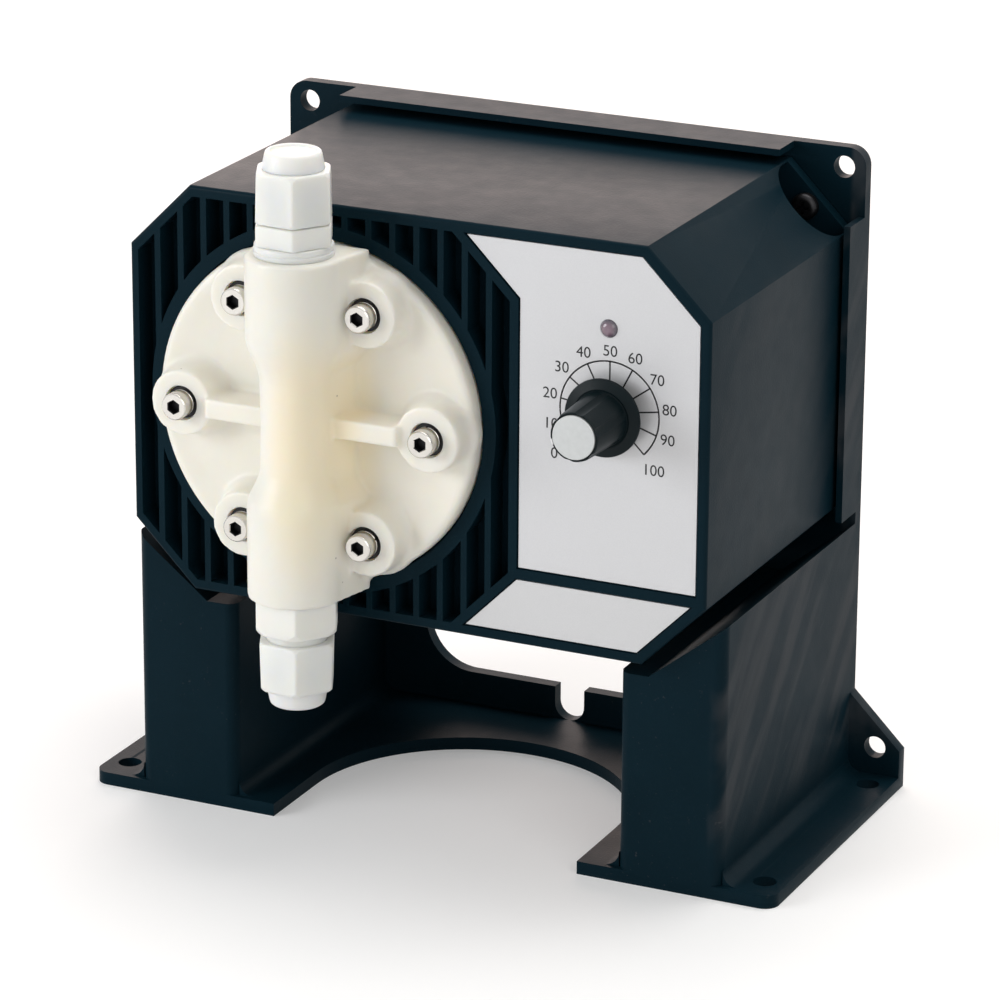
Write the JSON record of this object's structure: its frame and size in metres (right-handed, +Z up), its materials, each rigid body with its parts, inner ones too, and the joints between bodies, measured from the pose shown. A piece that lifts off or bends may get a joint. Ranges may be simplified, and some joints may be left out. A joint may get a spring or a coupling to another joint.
{
  "type": "diaphragm metering pump",
  "caption": "Solenoid diaphragm metering pump: translucent head with upright check valves on a chamfered case, flow knob on a label, in a moulded floor and wall stand.",
  "frame": {"origin": "middle of the four floor holes, on the floor that the stand rests on", "axes": "+X to the right seen from the front, +Y towards the wall behind, +Z up"},
  "size_m": [0.195, 0.1263, 0.1873],
  "materials": {
    "stand_plastic": "fine moulded grain, dark blue black",
    "case_plastic": "fine moulded grain, dark blue black",
    "gasket_rubber": "soft black",
    "stainless": "bright stainless",
    "label_sheet": "silver grey printed film",
    "plate_sheet": "silver grey film, bare",
    "lamp_lens": "dim lamp lens, unlit",
    "knob_plastic": "satin black",
    "pointer_white": "white",
    "cap_grey": "light grey",
    "zinc_plate": "zinc plated",
    "board_laminate": "green glass laminate",
    "capacitor_sleeve": "shrunk sleeve",
    "sink_aluminium": "black anodised",
    "terminal_plastic": "green",
    "head_plastic": "natural translucent cream",
    "support_plastic": "black",
    "diaphragm_rubber": "white faced rubber",
    "bush_bronze": "sintered bronze",
    "magnet_steel": "soft iron, plated",
    "bobbin_plastic": "glass filled",
    "coil_wire": "enamelled copper",
    "gland_plastic": "black nylon",
    "seat_plastic": "white",
    "ball_ceramic": "polished ceramic",
    "seal_rubber": "black",
    "fitting_plastic": "natural translucent white",
    "plug_plastic": "translucent white"
  },
  "bodies": {
    "stand": {"stand_bracket": "stand_plastic", "case_shell": "case_plastic", "case_gasket": "gasket_rubber", "case_screws": "stainless", "control_label": "label_sheet", "name_plate": "plate_sheet", "pulse_lamp": "lamp_lens", "potentiometer_body": "zinc_plate", "potentiometer_nut": "zinc_plate", "circuit_board": "board_laminate", "board_screws": "stainless", "board_capacitors": "capacitor_sleeve", "board_heat_sink": "sink_aluminium", "terminal_block": "terminal_plastic", "pump_head": "head_plastic", "head_screws": "stainless", "head_spring_washers": "stainless", "head_flat_washers": "stainless", "diaphragm_support": "support_plastic", "diaphragm": "diaphragm_rubber", "rod_bush": "bush_bronze", "solenoid_plate": "magnet_steel", "pole_piece": "magnet_steel", "return_spring": "stainless", "coil_bobbin": "bobbin_plastic", "coil_winding": "coil_wire", "solenoid_can": "magnet_steel", "solenoid_screws": "stainless", "rear_plug": "magnet_steel", "stop_pad": "gasket_rubber", "cable_gland": "gland_plastic", "gland_nut": "gland_plastic", "gland_lock_nut": "gland_plastic", "discharge_seat": "seat_plastic", "discharge_guide": "seat_plastic", "discharge_ring": "seal_rubber", "discharge_fitting": "fitting_plastic", "discharge_nut": "fitting_plastic", "discharge_plug": "plug_plastic", "suction_seat": "seat_plastic", "suction_guide": "seat_plastic", "suction_ring": "seal_rubber", "suction_fitting": "fitting_plastic", "suction_nut": "fitting_plastic", "suction_plug": "plug_plastic"},
    "knob": {"control_knob": "knob_plastic", "knob_cap": "cap_grey", "knob_pointer": "pointer_white", "potentiometer_shaft": "stainless"},
    "plunger": {"armature": "magnet_steel", "push_rod": "stainless", "diaphragm_core": "stainless"},
    "suction_check": {"suction_ball": "ball_ceramic"},
    "discharge_check": {"discharge_ball": "ball_ceramic"}
  },
  "joints": [
    {"name": "knob_turn", "type": "hinge", "parent": "stand", "child": "knob", "pos_m": [0.0532, -0.06, 0.1264], "axis": [0, 1, 0], "range_deg": [-27, 243]},
    {"name": "plunger_stroke", "type": "slide", "parent": "stand", "child": "plunger", "axis": [0, -1, 0], "range_m": [0, 0.00125], "stiffness_N_per_m": 2000, "springref_m": -0.002, "deforming": ["return_spring", "diaphragm"]},
    {"name": "suction_lift", "type": "slide", "parent": "stand", "child": "suction_check", "axis": [0, 0, 1], "range_m": [0, 0.0015]},
    {"name": "discharge_lift", "type": "slide", "parent": "stand", "child": "discharge_check", "axis": [0, 0, 1], "range_m": [0, 0.0015]}
  ]
}
